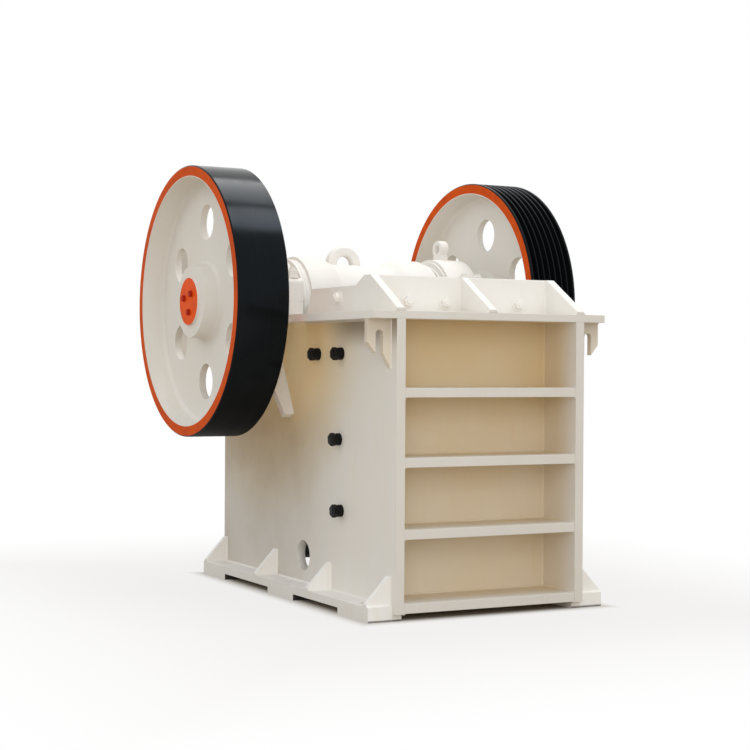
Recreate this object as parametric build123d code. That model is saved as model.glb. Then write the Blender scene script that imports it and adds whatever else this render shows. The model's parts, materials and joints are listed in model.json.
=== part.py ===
"""Jaw crusher: welded frame, split bearings, eccentric shaft with two wheels, pitman and jaw plates."""
import os
from math import asin, atan2, cos, degrees, hypot, radians, sin

from build123d import *

os.makedirs("parts", exist_ok=True)

# Driving dimensions in mm. X runs along the shaft, Y from front to back, Z up.
FRAME_W = 1110.0  # over the side plates
FRAME_H = 1530.0  # top of the feed flange above the floor
TAIL = 616.0  # side plates behind the shaft
PLATE = 50.0  # side plates, front wall and rear wall
RIB = 48.0  # horizontal ribs
BAY = 300.0  # depth of the front bays
RIB_TOPS = (85.0, 449.0, 804.0, 1150.0)
FLANGE_T = 40.0
FLANGE_OUT = 130.0  # flange beyond the side plates
FEED_RISE = 190.0  # feed plate above the flange
CHEEK_RISE = 140.0  # side plates above the flange
CHEEK_SLOPE = 100.0  # side plates fall this far behind the feed plate
CHEEK_LEAN = 70.0  # slope of the raised side plates' back edge
CHEEK_GAP = 140.0  # raised side plates end this far before the bearing ears
GUSSET = 30.0
SIDE_GUSSET = 45.0
MID_GUSSET = 40.0
TAIL_DROP = 273.0  # slope of the side plates' back corner
REAR_DROP = 330.0  # rear wall top below the flange
CORNER_R = 60.0  # tail corners of the side plates

BASE_OUT = 137.0  # base flange beyond the side plates
BASE_T = 40.0
PAD_T = 34.0
PAD_L = 333.0
MID_PAD_AHEAD = 39.0
BASE_SETBACK = 27.0
BASE_REAR_SETBACK = 9.0
BOLT_OUT = 70.0  # foot bolts beyond the side plates
BOLT_FRONT = 193.0  # first bolt row behind the front edges
BOLT_REAR = 174.0  # last bolt row ahead of the back edges
BOLT_R = 22.0
BASE_GUSSET_YS = (61.0, 725.0, 1410.0)  # behind the front edges
BASE_GUSSET_REAR = 36.0
BASE_GUSSET_H = 146.0
GUSSET_NOSE = 14.0
PORT_R = 82.0
PORT_Y = 1058.0
PORT_Z = 219.0

HOOK_T = 36.0
HOOK_SETBACK = 60.0
HOOK_OUTER_H = 117.0  # outer edge of the hook
HOOK_MOUTH_H = 172.0  # slot mouth below the flange
HOOK_H = 247.0
SLOT_R = 20.5
SLOT_TOP = 76.0  # slot's round end below the flange

SHAFT_RISE = 81.0  # shaft above the feed flange
SHAFT_SETBACK = 498.0  # shaft behind the mouth
THROW = 19.0  # eccentric throw
BEARING_R = 288.0
BEARING_L = 195.0
EAR_OUT = 96.0  # bearing ears beyond the round housing
EAR_UP = 130.0
EAR_R = 30.0
LUG_R = 51.0
LUG_T = 52.0
LUG_HOLE_R = 26.0
LUG_RISE = 65.0  # lug hole above the cap
LUG_FOOT = 42.0
LUG_NECK = 38.0
LUG_IN = 13.0  # lug inside the middle of the cap
LUG_SINK = 30.0
JOURNAL_R = 105.0
ECCENTRIC_R = 130.0
COVER_R = 215.0  # outer bearing covers
COVER_T = 24.0
COVER_STEP = 30.0
COVER_IN = 16.0  # inner covers inside the round ends
PITMAN_COVER_T = 40.0
RADIAL_GUSSET_T = 40.0
RADIAL_GUSSET_L = 436.0
RADIAL_GUSSET_TOE = 54.0
RADIAL_GUSSET_IN = 14.0  # gusset inside the housing's outer end
RADIAL_TOE_BACK = 16.0  # toe inside the bearing ear's end

WHEEL_R = 758.0
WHEEL_W = 295.0
WHEEL_GAP = 62.0  # bearing housing to wheel
RIM = 62.0
WEB = 40.0
HUB_R = 200.0
HUB_OUT = 20.0  # hub beyond the rim on the bearing side
HUB_INSET = 33.0  # hub inside the rim on the outer side
SEAT_R = 100.0
HOLES = 6
HOLE_R = 100.0
PULLEY_TURN = 4.0  # pulley holes from the upright
DRAFT = 14.0
CAST_R = 26.0
EDGE = 6.0
GROOVE_PITCH = 38.0
GROOVE_TOP = 31.0
GROOVE_FOOT = 12.0
GROOVE_DEPTH = 28.0
COLLAR_R = 125.0
COLLAR_GAP = 6.0
CAP_R = 132.0
CAP_T = 14.0

JAW_T = 60.0  # jaw plate behind the teeth
TOOTH = 46.0
TEETH = 11
TOOTH_CREST = 19.0
TOOTH_TROUGH = 19.0
GAPE = 610.0  # mouth between the jaw plates at the top
DISCHARGE = 135.0  # between the jaw plates at the foot
JAW_FOOT_Z = 341.0
JAW_BELOW = 30.0  # jaw tops below the flange
REST_T = 48.0
LINER_T = 50.0
LINER_SPLIT = 600.0  # upper liner's height
LINER_BACK = 86.0
JAW_CLEAR = 15.0  # moving jaw to each liner
PITMAN_CLEAR = 25.0  # pitman to each liner

DRUM_R = 292.0
WAIST_R = 255.0
WAIST_L = 350.0
SHOULDER = 70.0
DRUM_STEP = 28.0  # turned step at each end of the drum
SKIN = 70.0
PITMAN_RIB = 46.0
PITMAN_RIBS = 5
PITMAN_LIP = 50.0  # pitman beyond the jaw plate's ends
FOOT_DEPTH = 242.0
FOOT_RISE = 180.0
FOOT_TAPER = 97.0
RIB_BELLY = 50.0
BELLY_UP = 763.0
EYE_R = 108.0
EYE_HOLE_R = 48.0
EYE_T = 60.0
EYE_BACK = 144.0  # lifting eye behind the shaft
EYE_RISE = 13.0  # eye centre above the waist
EYE_ROUND = 16.0
SHACKLE_ROOM = 46.0  # pocket ahead of the eye
WEDGE_T = 36.0

TOGGLE_T = 64.0
TOGGLE_IN = 105.0  # toggle narrower than the liners' gap on each side
TOGGLE_SINK = 22.0
SEAT_T = 60.0
SEAT_H = 130.0
OPEN_PIVOT = 26.0  # clearance where the linkage is opened
REAR_BAY = 300.0
REAR_FOOT_Z = 312.0
REAR_RIBS = 3
BLOCK_L = 260.0
BLOCK_H = 190.0
BLOCK_Z = 420.0
GUIDE_T = 40.0
GUIDE_IN = 50.0
ROD_R = 22.0
ROD_OUT = 82.0  # rod beyond the side plates' back edges
SPRING_R = 52.0
WIRE_R = 11.0
COILS = 6
DISC_R = 74.0
DISC_T = 14.0
NUT_R = 44.0
NUT_T = 48.0
THREAD_OUT = 28.0
BRACKET_W = 200.0
BRACKET_T = 50.0
BRACKET_LOW = 66.0
PIN_R = 15.0
PIN_DROP = 110.0  # rod pin below the pitman foot
PIN_BACK = 73.0
ROD_LUG_T = 24.0
ROD_LUG_GAP = 98.0
ROD_LUG_L = 100.0
ROD_EYE_T = 50.0

RUN_FIT = 0.08  # shafts in holes
SEAT_FIT = 0.3  # round faces of neighbouring pieces
SIDES = (-1, 1)

# Derived planes
half_w = FRAME_W / 2
inner = half_w - PLATE
liner_in = inner - LINER_T
jaw_depth = JAW_T + TOOTH
frame_l = BAY + PLATE + jaw_depth + GAPE + SHAFT_SETBACK + TAIL
bolt_x = half_w + BOLT_OUT
bolt_y = (frame_l - BOLT_FRONT - BOLT_REAR) / 2
front = -(BOLT_FRONT + bolt_y)
back = front + frame_l
flange_z = FRAME_H - FLANGE_T
base_top = PAD_T + BASE_T
wall_front = front + BAY
wall_back = wall_front + PLATE
chamber_front = wall_back + jaw_depth
shaft_y = chamber_front + GAPE + SHAFT_SETBACK
shaft_z = FRAME_H + SHAFT_RISE
ecc_z = shaft_z - THROW
ear_y = BEARING_R + EAR_OUT
cheek_end = shaft_y - ear_y - CHEEK_GAP
bearing_out = inner + BEARING_L
wheel_in = bearing_out + WHEEL_GAP
wheel_mid = wheel_in + WHEEL_W / 2
wheel_out = wheel_in + WHEEL_W
hub_face = wheel_out - HUB_INSET
rear_back = back - REAR_BAY
rear_front = rear_back - PLATE
pitman_half = liner_in - PITMAN_CLEAR
beyond = FRAME_W  # cutters run this far past what they cut


def plate_x(points, x0, x1):
    """Profile in Y and Z, between two X planes."""
    return extrude(Plane.YZ.offset(x0) * Polygon(*points, align=None), x1 - x0, dir=(1, 0, 0))


def plate_y(points, y0, y1):
    """Profile in X and Z, between two Y planes."""
    plane = Plane((0, y0, 0), x_dir=(1, 0, 0), z_dir=(0, -1, 0))
    return extrude(plane * Polygon(*points, align=None), y1 - y0, dir=(0, 1, 0))


def plate_z(points, z0, z1):
    """Profile in X and Y, between two Z planes."""
    return extrude(Plane.XY.offset(z0) * Polygon(*points, align=None), z1 - z0, dir=(0, 0, 1))


def block(x0, x1, y0, y1, z0, z1):
    """Plain plate between pairs of planes."""
    return plate_z([(x0, y0), (x1, y0), (x1, y1), (x0, y1)], z0, z1)


def bar_x(radius, x0, x1, y, z):
    """Round bar along X."""
    return extrude(Plane((x0, y, z), x_dir=(0, 1, 0), z_dir=(1, 0, 0)) * Circle(radius), x1 - x0)


def bar_y(radius, y0, y1, x, z):
    """Round bar along Y."""
    return extrude(Plane((x, y0, z), x_dir=(1, 0, 0), z_dir=(0, 1, 0)) * Circle(radius), y1 - y0)


def bar_z(radius, z0, z1, x, y):
    """Round bar along Z."""
    return extrude(Plane((x, y, z0)) * Circle(radius), z1 - z0)


def axial_plane(y, z):
    """Plane of a turned profile: along X, and outwards from an axis."""
    return Plane((0, y, z), x_dir=(1, 0, 0), z_dir=(0, -1, 0))


def turned(points, y, z):
    """Profile of axial place and radius, turned about an axis along X."""
    face = axial_plane(y, z) * Polygon(*points, align=None)
    return revolve(face, Axis((0, y, z), (1, 0, 0)), 360)


def flip(shape, side):
    """The right-hand shape, or its mirror for the left."""
    return shape if side > 0 else mirror(shape, about=Plane.YZ)


def save(name, *solids):
    """Writes one node, of one solid or of several that don't touch."""
    shape = solids[0] if len(solids) == 1 else Compound(children=list(solids))
    export_step(shape, f"parts/{name}.step")


def save_each_side(name, solid):
    """Writes a left and a right node."""
    for side, word in zip(SIDES, ("left", "right")):
        save(f"{word}_{name}", flip(solid, side))


def save_pairs(name, *solids):
    """Writes one node of solids that repeat on both sides."""
    save(name, *[flip(solid, side) for side in SIDES for solid in solids])


# Side plates with the bearing seat notched into the top edge
cheek_top = FRAME_H + CHEEK_RISE
feed_top = FRAME_H + FEED_RISE
tail_y = shaft_y + ear_y + PLATE
side_points = [
    (front, PAD_T), (front, flange_z), (wall_back, flange_z), (wall_back, feed_top),
    (wall_back + CHEEK_SLOPE, cheek_top), (cheek_end - CHEEK_LEAN, cheek_top), (cheek_end, FRAME_H),
    (tail_y, FRAME_H), (back, FRAME_H - TAIL_DROP), (back, PAD_T),
]
side_plate = plate_x(side_points, inner, half_w)
side_plate -= bar_x(BEARING_R + SEAT_FIT, inner, half_w, shaft_y, shaft_z)
side_plate -= bar_x(PORT_R, inner, half_w, front + PORT_Y, PORT_Z)
tail_edges = side_plate.edges().filter_by(Axis.X).filter_by(lambda e: e.center().Y > tail_y - PLATE / 2)
tail_corners = tail_edges.filter_by(lambda e: e.center().Z > FRAME_H - TAIL_DROP - PLATE)
side_plate = fillet(tail_corners, CORNER_R)
save_each_side("side_plate", side_plate)

# Front wall rising through the flange as the feed plate, with its ribs
wall_points = [
    (-inner, PAD_T), (inner, PAD_T), (inner, flange_z), (half_w, flange_z),
    (half_w, feed_top), (-half_w, feed_top), (-half_w, flange_z), (-inner, flange_z),
]
save("front_wall", plate_y(wall_points, wall_front, wall_back))
for number, rib_top in enumerate(RIB_TOPS, 1):
    save(f"front_rib_{number}", block(-inner, inner, front, wall_front, rib_top - RIB, rib_top))

# Feed flange, a U round the front and both sides
flange_half = half_w + FLANGE_OUT
flange_points = [
    (-flange_half, front), (flange_half, front), (flange_half, cheek_end), (half_w, cheek_end),
    (half_w, wall_front), (-half_w, wall_front), (-half_w, cheek_end), (-flange_half, cheek_end),
]
save("feed_flange", plate_z(flange_points, flange_z, FRAME_H))
feed_gusset = [
    (front, FRAME_H), (wall_front, FRAME_H), (wall_front, feed_top), (wall_front - GUSSET_NOSE, feed_top),
    (front, FRAME_H + GUSSET_NOSE),
]
side_span = (half_w - SIDE_GUSSET, half_w)
gusset_spans = ((-half_w, SIDE_GUSSET - half_w), (-MID_GUSSET / 2, MID_GUSSET / 2), side_span)
save("feed_gussets", *[plate_x(feed_gusset, x0, x1) for x0, x1 in gusset_spans])

# Slotted hook brackets under the flange corners
slot_x = half_w + FLANGE_OUT / 2
slot_z = flange_z - SLOT_TOP
hook_mouth = flange_z - HOOK_MOUTH_H
hook_points = [
    (half_w, flange_z), (flange_half, flange_z), (flange_half, flange_z - HOOK_OUTER_H),
    (slot_x + SLOT_R, hook_mouth), (slot_x - SLOT_R, hook_mouth), (half_w, flange_z - HOOK_H),
]
hook_front = front + HOOK_SETBACK
hook = plate_y(hook_points, hook_front, hook_front + HOOK_T)
hook -= bar_y(SLOT_R, front, wall_front, slot_x, slot_z)
hook -= block(slot_x - SLOT_R, slot_x + SLOT_R, front, wall_front, flange_z - 2 * HOOK_H, slot_z)
save_pairs("hook_brackets", hook)

# Base flange, gussets and pads with foot bolt holes
base_half = half_w + BASE_OUT
base_flange = block(half_w, base_half, front + BASE_SETBACK, back - BASE_REAR_SETBACK, PAD_T, base_top)
pads = []
for row_y, shift in ((-bolt_y, 0), (0, -MID_PAD_AHEAD), (bolt_y, 0)):
    hole = bar_z(BOLT_R, -beyond, beyond, bolt_x, row_y)
    pad_y = row_y + shift
    pads.append(block(inner, base_half, pad_y - PAD_L / 2, pad_y + PAD_L / 2, 0, PAD_T) - hole)
    base_flange -= hole
save_each_side("base_flange", base_flange)
save_pairs("foot_pads", *pads)
base_gusset = [
    (half_w, base_top), (base_half, base_top), (base_half, base_top + GUSSET_NOSE),
    (half_w + GUSSET_NOSE, base_top + BASE_GUSSET_H), (half_w, base_top + BASE_GUSSET_H),
]
gusset_ys = [front + y for y in BASE_GUSSET_YS] + [back - BASE_GUSSET_REAR]
save_pairs("base_gussets", *[plate_y(base_gusset, y - GUSSET / 2, y + GUSSET / 2) for y in gusset_ys])

# Split bearing housings: base in the side plate notch, cap with ears and a lifting lug
ear_span = (shaft_y - ear_y, shaft_y + ear_y)
ear_top = shaft_z + EAR_UP
housing_bore = bar_x(JOURNAL_R + RUN_FIT, 0, beyond, shaft_y, shaft_z)
housing = bar_x(BEARING_R, inner, bearing_out, shaft_y, shaft_z)
below = block(inner, bearing_out, *ear_span, shaft_z - 2 * BEARING_R, shaft_z)
above = block(inner, bearing_out, *ear_span, shaft_z, shaft_z + 2 * BEARING_R)
bearing_base = (housing & below) + block(inner, bearing_out, *ear_span, FRAME_H, shaft_z) - housing_bore
save_each_side("bearing_base", bearing_base)
ears = block(inner, bearing_out, *ear_span, shaft_z, ear_top)
ears = fillet(ears.edges().filter_by(Axis.X).group_by(Axis.Z)[-1], EAR_R)
cap_top = shaft_z + BEARING_R
lug_x = (inner + bearing_out) / 2 - LUG_IN
lug_span = (lug_x - LUG_T / 2, lug_x + LUG_T / 2)
lug_z = cap_top + LUG_RISE
lug_points = [
    (shaft_y - LUG_FOOT, cap_top - LUG_SINK), (shaft_y + LUG_FOOT, cap_top - LUG_SINK),
    (shaft_y + LUG_NECK, lug_z), (shaft_y - LUG_NECK, lug_z),
]
lug = plate_x(lug_points, *lug_span) + bar_x(LUG_R, *lug_span, shaft_y, lug_z)
bearing_cap = (housing & above) + ears + lug - housing_bore
bearing_cap -= bar_x(LUG_HOLE_R, inner, bearing_out, shaft_y, lug_z)
save_each_side("bearing_cap", bearing_cap)


def stepped_cover(radius, bore, x0, x2, y, z):
    """Two-step round cover, standing out from the plane at x0."""
    x1 = (x0 + x2) / 2
    points = [(x0, bore), (x2, bore), (x2, radius - COVER_STEP), (x1, radius - COVER_STEP), (x1, radius),
              (x0, radius)]
    return turned(points, y, z)


journal_bore = JOURNAL_R + RUN_FIT
outer_cover = stepped_cover(COVER_R, journal_bore, bearing_out, bearing_out + COVER_T, shaft_y, shaft_z)
inner_cover = stepped_cover(BEARING_R - COVER_IN, journal_bore, inner, inner - COVER_T, shaft_y, shaft_z)
save_pairs("bearing_covers", inner_cover, outer_cover)


def radial_gusset(angle):
    """Tapered web on the side plate, pointing at the bearing axis."""
    direction = Vector(0, cos(radians(angle)), sin(radians(angle)))
    plane = Plane((0, shaft_y, shaft_z), x_dir=direction, z_dir=direction.cross(Vector(1, 0, 0)))
    toe = BEARING_R + RADIAL_GUSSET_L
    points = [
        (BEARING_R, half_w), (toe, half_w), (toe, half_w + RADIAL_GUSSET_TOE),
        (BEARING_R, bearing_out - RADIAL_GUSSET_IN),
    ]
    return extrude(plane * Polygon(*points, align=None), RADIAL_GUSSET_T / 2, both=True)


# The gussets' toes end a little inside the ends of the bearing ears
toe_r = BEARING_R + RADIAL_GUSSET_L
toe_half = RADIAL_GUSSET_T / 2
toe_turn = degrees(asin((ear_y - RADIAL_TOE_BACK) / hypot(toe_r, toe_half)) - atan2(toe_half, toe_r))
save_pairs("radial_gussets", *[radial_gusset(turn - 90) for turn in (-toe_turn, toe_turn)])

# Jaw faces: the moving jaw leans back from the foot to the mouth
jaw_top_z = FRAME_H - JAW_BELOW
foot_tip = Vector(0, chamber_front + DISCHARGE, JAW_FOOT_Z)
top_tip = Vector(0, chamber_front + GAPE, jaw_top_z)
face_len = (top_tip - foot_tip).length
along = (top_tip - foot_tip).normalized()
inward = along.cross(Vector(1, 0, 0))


def on_face(up, depth):
    """Point in Y and Z by height along the moving jaw's back and depth behind it."""
    point = foot_tip + along * up + inward * (jaw_depth + depth)
    return (point.Y, point.Z)


def jaw_plate(width, foot, direction, outward, length):
    """Toothed plate: a flat back through foot, teeth along direction, pointing outward."""
    pitch = width / TEETH
    points = [(-width / 2, 0), (width / 2, 0)]
    for tooth in range(TEETH):
        middle = width / 2 - (tooth + 0.5) * pitch
        root = (pitch - TOOTH_TROUGH) / 2
        crest = TOOTH_CREST / 2
        points += [(middle + root, JAW_T), (middle + crest, jaw_depth), (middle - crest, jaw_depth),
                   (middle - root, JAW_T)]
    points.insert(2, (width / 2, JAW_T))
    points.append((-width / 2, JAW_T))
    plane = Plane((0, *foot), x_dir=(1, 0, 0), z_dir=outward.cross(Vector(-1, 0, 0)))
    return extrude(plane * Polygon(*points, align=None), length, dir=direction)


jaw_w = 2 * (liner_in - JAW_CLEAR)
save("moving_jaw_plate", jaw_plate(jaw_w, on_face(0, 0), along, inward * -1, face_len))
fixed_foot = (wall_back, JAW_FOOT_Z)
fixed_jaw = jaw_plate(jaw_w, fixed_foot, Vector(0, 0, 1), Vector(0, 1, 0), jaw_top_z - JAW_FOOT_Z)
margin = block(jaw_w / 2, inner, wall_back, chamber_front, JAW_FOOT_Z, jaw_top_z)
for side in SIDES:
    fixed_jaw += flip(margin, side)
save("fixed_jaw_plate", fixed_jaw)
rest_points = [
    (wall_back, JAW_FOOT_Z), (chamber_front, JAW_FOOT_Z),
    (chamber_front, JAW_FOOT_Z - REST_T), (wall_back, JAW_FOOT_Z - REST_T - jaw_depth / 2),
]
save("jaw_rest_bar", plate_x(rest_points, -inner, inner))


def liner(z0, z1):
    """Cheek liner between two heights, its back edge behind the moving jaw's face."""
    lean = along.Y / along.Z
    edge = [foot_tip.Y + (z - JAW_FOOT_Z) * lean + LINER_BACK for z in (z0, z1)]
    points = [(chamber_front, z0), (edge[0], z0), (edge[1], z1), (chamber_front, z1)]
    return plate_x(points, liner_in, inner)


split_z = jaw_top_z - LINER_SPLIT
save_pairs("cheek_liners", liner(JAW_FOOT_Z, split_z), liner(split_z + SEAT_FIT, jaw_top_z))

# Pitman: turned head, skin behind the jaw plate, ribs and a foot beam, cast in one with its lifting eye
waist = WAIST_L / 2
drum_end = pitman_half - DRUM_STEP
cover_r = DRUM_R - COVER_IN
head_points = [
    (-pitman_half, 0), (pitman_half, 0), (pitman_half, cover_r), (drum_end, cover_r), (drum_end, DRUM_R),
    (waist + SHOULDER, DRUM_R), (waist, WAIST_R), (-waist, WAIST_R), (-waist - SHOULDER, DRUM_R),
    (-drum_end, DRUM_R), (-drum_end, cover_r), (-pitman_half, cover_r),
]
pitman = turned(head_points, shaft_y, ecc_z)
skin_top = face_len + PITMAN_LIP
skin = [on_face(-PITMAN_LIP, 0), on_face(skin_top, 0), on_face(skin_top, SKIN), on_face(-PITMAN_LIP, SKIN)]
foot_beam = [
    on_face(-PITMAN_LIP, 0), on_face(FOOT_RISE, 0), on_face(FOOT_RISE, FOOT_DEPTH), on_face(0, FOOT_DEPTH),
    on_face(-PITMAN_LIP, FOOT_DEPTH - FOOT_TAPER),
]
for profile in (skin, foot_beam):
    pitman += plate_x(profile, -pitman_half, pitman_half)
rib_points = [
    on_face(-PITMAN_LIP, 0), on_face(skin_top, 0), (shaft_y - DRUM_R + SKIN, ecc_z + PITMAN_LIP),
    (shaft_y, ecc_z), (shaft_y + DRUM_R - 2 * PITMAN_LIP, ecc_z - DRUM_R + 2 * PITMAN_LIP),
    on_face(BELLY_UP, FOOT_DEPTH + RIB_BELLY), on_face(FOOT_RISE, FOOT_DEPTH),
]
rib_step = (2 * pitman_half - PITMAN_RIB) / (PITMAN_RIBS - 1)
for rib in range(PITMAN_RIBS):
    rib_x = rib * rib_step - pitman_half
    pitman += plate_x(rib_points, rib_x, rib_x + PITMAN_RIB)
eye_y = shaft_y + EYE_BACK
eye_z = ecc_z + WAIST_R + EYE_RISE
eye_span = (eye_y - EYE_T / 2, eye_y + EYE_T / 2)
eye = bar_y(EYE_R, *eye_span, 0, eye_z) + block(-EYE_R, EYE_R, *eye_span, eye_z - EYE_R, eye_z)
eye -= bar_y(EYE_HOLE_R, -beyond, beyond, 0, eye_z)
eye = fillet(eye.edges().filter_by(GeomType.CIRCLE), EYE_ROUND)
pocket_z = eye_z - EYE_HOLE_R - EYE_ROUND
pitman -= block(-EYE_R, EYE_R, eye_span[0] - SHACKLE_ROOM, eye_span[1], pocket_z, eye_z + EYE_R)
pitman += eye
pitman -= bar_x(ECCENTRIC_R + RUN_FIT, -beyond, beyond, shaft_y, ecc_z)
save("pitman", pitman)
pin_y, foot_z = on_face(-PITMAN_LIP, PIN_BACK)
pin_z = foot_z - PIN_DROP
lug_half = ROD_LUG_L / 2
rod_lug_points = [
    on_face(-PITMAN_LIP, PIN_BACK - lug_half), on_face(-PITMAN_LIP, PIN_BACK + lug_half),
    (pin_y + lug_half, pin_z), (pin_y - lug_half, pin_z),
]
lug_out = ROD_LUG_GAP / 2 + ROD_LUG_T
lug_ends = (ROD_LUG_GAP / 2, lug_out)
rod_lug = plate_x(rod_lug_points, *lug_ends) + bar_x(lug_half, *lug_ends, pin_y, pin_z)
save_pairs("rod_lugs", rod_lug - bar_x(PIN_R + RUN_FIT, 0, beyond, pin_y, pin_z))
save("rod_pin", bar_x(PIN_R, -lug_out, lug_out, pin_y, pin_z))
wedge_points = [
    on_face(face_len, -JAW_T), on_face(skin_top, -WEDGE_T), on_face(skin_top, 0), on_face(face_len, 0),
]
save("jaw_wedge", plate_x(wedge_points, -pitman_half, pitman_half))
cover_out = pitman_half + PITMAN_COVER_T
pitman_cover = stepped_cover(cover_r, ECCENTRIC_R + RUN_FIT, pitman_half, cover_out, shaft_y, ecc_z)
save_pairs("pitman_covers", pitman_cover)

# Toggle plate, opened at the pitman and seated in the toggle block
toggle_half = liner_in - TOGGLE_IN
toggle_r = TOGGLE_T / 2
seat_low = FOOT_RISE / 2 - SEAT_H / 2
seat_high = FOOT_RISE / 2 + SEAT_H / 2
seat_back = FOOT_DEPTH + SEAT_T
seat_points = [on_face(seat_low, FOOT_DEPTH), on_face(seat_high, FOOT_DEPTH), on_face(seat_high, seat_back),
               on_face(seat_low, seat_back)]
nose_y, nose_z = on_face(FOOT_RISE / 2, seat_back - TOGGLE_SINK + toggle_r)
nose = (nose_y, nose_z + THROW)
block_front = rear_front - BLOCK_L
heel = (block_front - SEAT_T + TOGGLE_SINK - toggle_r, BLOCK_Z)
toggle_l = hypot(heel[0] - nose[0], heel[1] - nose[1])
toggle_way = Vector(0, heel[0] - nose[0], heel[1] - nose[1]).normalized()
toggle_plane = Plane((-toggle_half, *nose), x_dir=toggle_way, z_dir=(1, 0, 0))
toggle_face = Polygon((0, -toggle_r), (toggle_l, -toggle_r), (toggle_l, toggle_r), (0, toggle_r), align=None)
toggle_face = toggle_face + Circle(toggle_r) + Pos(toggle_l, 0) * Circle(toggle_r)
save("toggle_plate", extrude(toggle_plane * toggle_face, 2 * toggle_half, dir=(1, 0, 0)))
room_plane = Plane((-toggle_half, nose_y, nose_z), x_dir=toggle_way, z_dir=(1, 0, 0))
toggle_room = extrude(room_plane * offset(toggle_face, OPEN_PIVOT), 2 * toggle_half, dir=(1, 0, 0))
save("pitman_toggle_seat", plate_x(seat_points, -toggle_half, toggle_half) - toggle_room)
rear_seat = block(-toggle_half, toggle_half, block_front - SEAT_T, block_front, BLOCK_Z - SEAT_H / 2,
                  BLOCK_Z + SEAT_H / 2)
save("rear_toggle_seat", rear_seat - bar_x(toggle_r + RUN_FIT, -beyond, beyond, *heel))
block_low = BLOCK_Z - BLOCK_H / 2
block_high = BLOCK_Z + BLOCK_H / 2
save("toggle_block", block(-liner_in, liner_in, block_front, rear_front, block_low, block_high))
guide_span = (liner_in - GUIDE_IN, inner, block_front, rear_front)
low_guide = block(*guide_span, block_low - GUIDE_T, block_low)
save_pairs("toggle_guides", low_guide, block(*guide_span, block_high, block_high + GUIDE_T))

# Rear wall and ribs
rear_top = FRAME_H - REAR_DROP
save("rear_wall", block(-inner, inner, rear_front, rear_back, REAR_FOOT_Z, rear_top))
rear_pitch = (rear_top - REAR_FOOT_Z - RIB) / (REAR_RIBS - 1)
rear_lows = [REAR_FOOT_Z + rib * rear_pitch for rib in range(REAR_RIBS)]
save("rear_ribs", *[block(-inner, inner, rear_back, back, low, low + RIB) for low in rear_lows])

# Tension rod, spring and bracket below the rear wall
rod_z = pin_z + THROW
rod_end = back + ROD_OUT
eye_hole = PIN_R + THROW + EDGE
rod = bar_y(ROD_R, pin_y + eye_hole, rod_end, 0, rod_z)
rod += bar_x(eye_hole + ROD_R, -ROD_EYE_T / 2, ROD_EYE_T / 2, pin_y, rod_z)
save("tension_rod", rod - bar_x(eye_hole, -beyond, beyond, pin_y, rod_z))
rod_hole = bar_y(ROD_R + RUN_FIT, -beyond, rod_end, 0, rod_z)
bracket_back = rear_back + BRACKET_T
bracket = block(-BRACKET_W / 2, BRACKET_W / 2, rear_back, bracket_back, rod_z - BRACKET_LOW, REAR_FOOT_Z)
save("rod_bracket", bracket - rod_hole)
spring_from = bracket_back + DISC_T
spring_to = rod_end - THREAD_OUT - NUT_T - DISC_T
discs = [bar_y(DISC_R, y, y + DISC_T, 0, rod_z) - rod_hole for y in (bracket_back, spring_to)]
save("spring_discs", *discs)
coil_len = spring_to - spring_from - 2 * WIRE_R
coil_foot = (0, spring_from + WIRE_R, rod_z)
helix = Helix(coil_len / COILS, coil_len, SPRING_R, center=coil_foot, direction=(0, 1, 0))
save("tension_spring", sweep(Plane(origin=helix @ 0, z_dir=helix % 0) * Circle(WIRE_R), helix))
nut_plane = Plane((0, spring_to + DISC_T, rod_z), x_dir=(1, 0, 0), z_dir=(0, 1, 0))
save("rod_nut", extrude(nut_plane * RegularPolygon(NUT_R, 6), NUT_T) - rod_hole)

# Rotor: eccentric shaft, two wheels and end caps
collar_out = wheel_in - HUB_OUT
shaft = bar_x(ECCENTRIC_R, -cover_out, cover_out, shaft_y, ecc_z)
shaft += bar_x(JOURNAL_R, -collar_out, collar_out, shaft_y, shaft_z)
shaft += bar_x(SEAT_R, -hub_face, hub_face, shaft_y, shaft_z)
collar = bar_x(COLLAR_R, bearing_out + COVER_T + COLLAR_GAP, collar_out, shaft_y, shaft_z)
for side in SIDES:
    shaft += flip(collar, side)
save("eccentric_shaft", shaft)


def tread(grooved):
    """Points of the tread from the outer to the bearing side, smooth or with belt grooves."""
    points = [(wheel_out - EDGE, WHEEL_R)]
    grooves = int((WHEEL_W - 2 * EDGE) / GROOVE_PITCH) if grooved else 0
    for groove in range(grooves):
        x = wheel_mid + ((grooves - 1) / 2 - groove) * GROOVE_PITCH
        foot_r = WHEEL_R - GROOVE_DEPTH
        points += [
            (x + GROOVE_TOP / 2, WHEEL_R), (x + GROOVE_FOOT / 2, foot_r), (x - GROOVE_FOOT / 2, foot_r),
            (x - GROOVE_TOP / 2, WHEEL_R),
        ]
    return points + [(wheel_in + EDGE, WHEEL_R)]


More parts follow.
